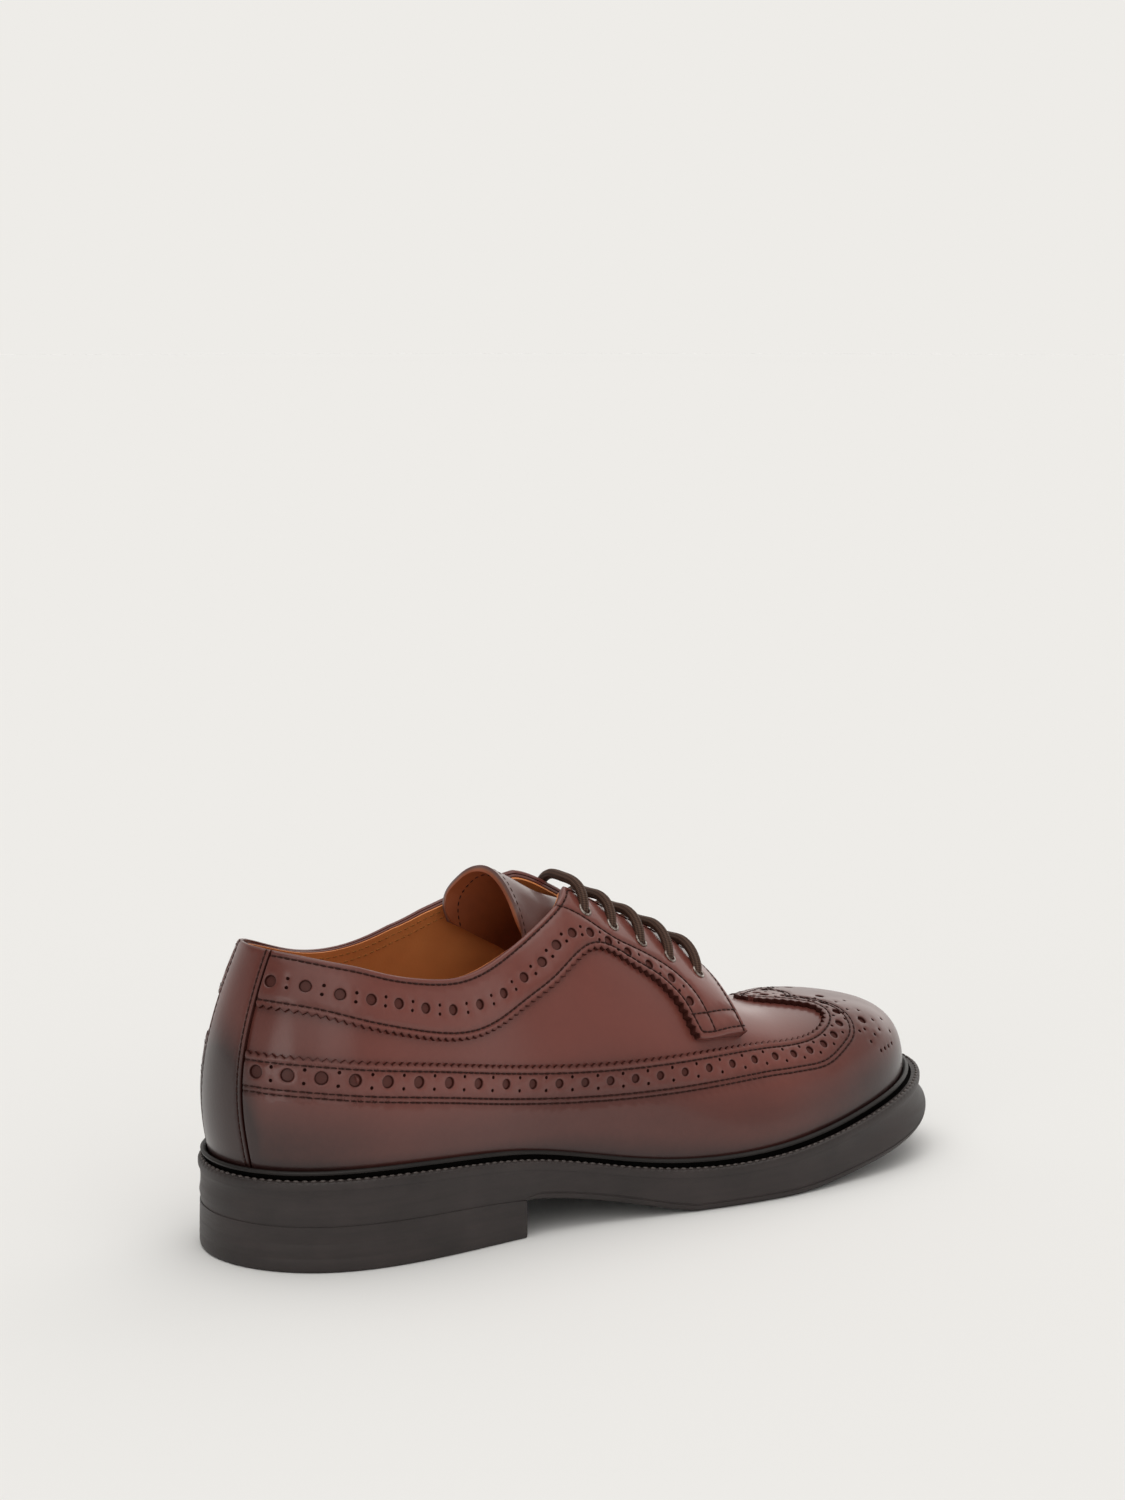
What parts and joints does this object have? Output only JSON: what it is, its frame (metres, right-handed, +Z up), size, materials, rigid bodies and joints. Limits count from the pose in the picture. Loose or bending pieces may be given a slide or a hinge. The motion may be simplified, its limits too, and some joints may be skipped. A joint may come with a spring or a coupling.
{
  "type": "longwing derby brogue",
  "caption": "Right longwing derby shoe: hollow lasted leather upper with winged overlays, tongue, straight bar lacing and a welted rubber sole with a block heel.",
  "frame": {"origin": "centre of the sole's outline, on the floor", "axes": "+X to the toe, +Y to the inner side of this right shoe, +Z up"},
  "size_m": [0.3022, 0.1033, 0.1219],
  "materials": {
    "sole_rubber": "dark brown moulded rubber, matte",
    "welt_rubber": "black storm welt, satin",
    "insole_leather": "tan lining leather, matte",
    "upper_leather": "burnished brown calf, polished",
    "tongue_leather": "dark burnished calf, polished",
    "lace_cord": "waxed round cotton cord, dark brown"
  },
  "bodies": {
    "root": {"outsole": "sole_rubber", "heel": "sole_rubber", "welt": "welt_rubber", "insole": "insole_leather", "upper": "upper_leather", "tongue": "tongue_leather", "wing_cap": "upper_leather", "quarter_outer": "upper_leather", "quarter_inner": "upper_leather", "heel_strip": "upper_leather", "lace_bar_1": "lace_cord", "lace_bar_2": "lace_cord", "lace_bar_3": "lace_cord", "lace_bar_4": "lace_cord", "lace_bar_5": "lace_cord"}
  },
  "joints": []
}
